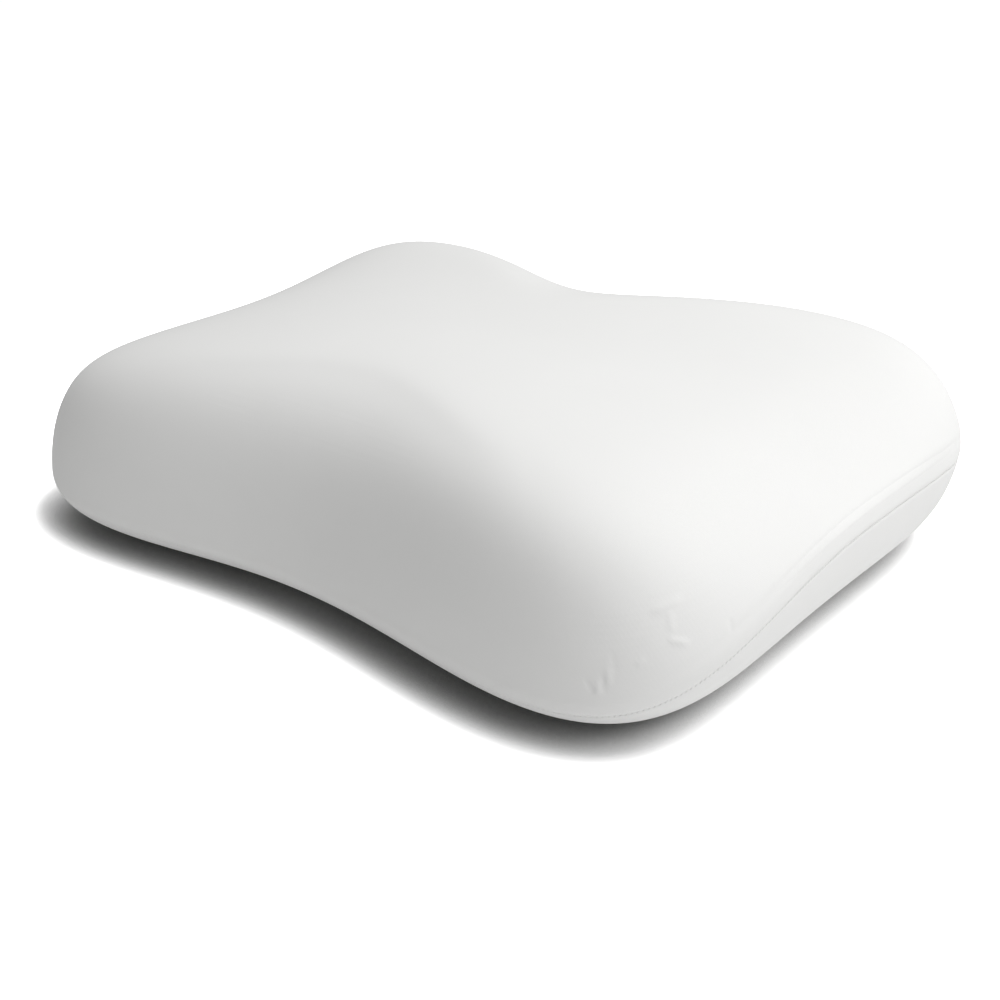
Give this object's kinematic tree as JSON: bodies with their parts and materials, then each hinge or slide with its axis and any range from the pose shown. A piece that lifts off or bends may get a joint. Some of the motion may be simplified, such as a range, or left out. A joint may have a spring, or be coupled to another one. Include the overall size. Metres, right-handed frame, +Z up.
{
  "type": "contoured cervical traction pillow",
  "caption": "Four-lobed contoured neck traction pillow: moulded foam core and liner inside a white knitted cover with a zip on its flat underside.",
  "frame": {"origin": "on the ground, under the middle of the pillow's length and depth", "axes": "+X along the long axis, -Y towards the lower neck side, +Y towards the higher rear side, +Z up"},
  "size_m": [0.5052, 0.3599, 0.1224],
  "materials": {
    "foam": "open-cell polyurethane memory foam, matt",
    "liner": "thin plain jersey, matt",
    "cover_knit": "fine smooth stretch knit, matt",
    "webbing": "fine woven tape, matt",
    "label": "satin-woven tape, blank",
    "zip_coil": "nylon monofilament, half matt",
    "zip_slider": "white lacquered die casting, satin",
    "zip_stop": "plain stamped, satin"
  },
  "bodies": {
    "pillow": {"foam_core": "foam", "inner_liner": "liner", "cover_top": "cover_knit", "cover_base": "cover_knit", "seam_binding": "webbing", "care_label": "label", "zipper_tape_front": "webbing", "zipper_tape_rear": "webbing", "zipper_coil_front": "zip_coil", "zipper_coil_rear": "zip_coil", "zipper_top_stop_front": "zip_stop", "zipper_top_stop_rear": "zip_stop", "zipper_bottom_stop": "zip_stop"},
    "slider": {"zipper_slider": "zip_slider"},
    "pull_tab": {"zipper_pull_tab": "zip_slider"}
  },
  "joints": [
    {"name": "zip_slide", "type": "slide", "parent": "pillow", "child": "slider", "axis": [-1, 0, 0], "range_m": [0, 0.273]},
    {"name": "pull_tab_swing", "type": "hinge", "parent": "slider", "child": "pull_tab", "pos_m": [0.1442, 0.07, 0.00195], "axis": [0, -1, 0], "range_deg": [0, 160]}
  ]
}
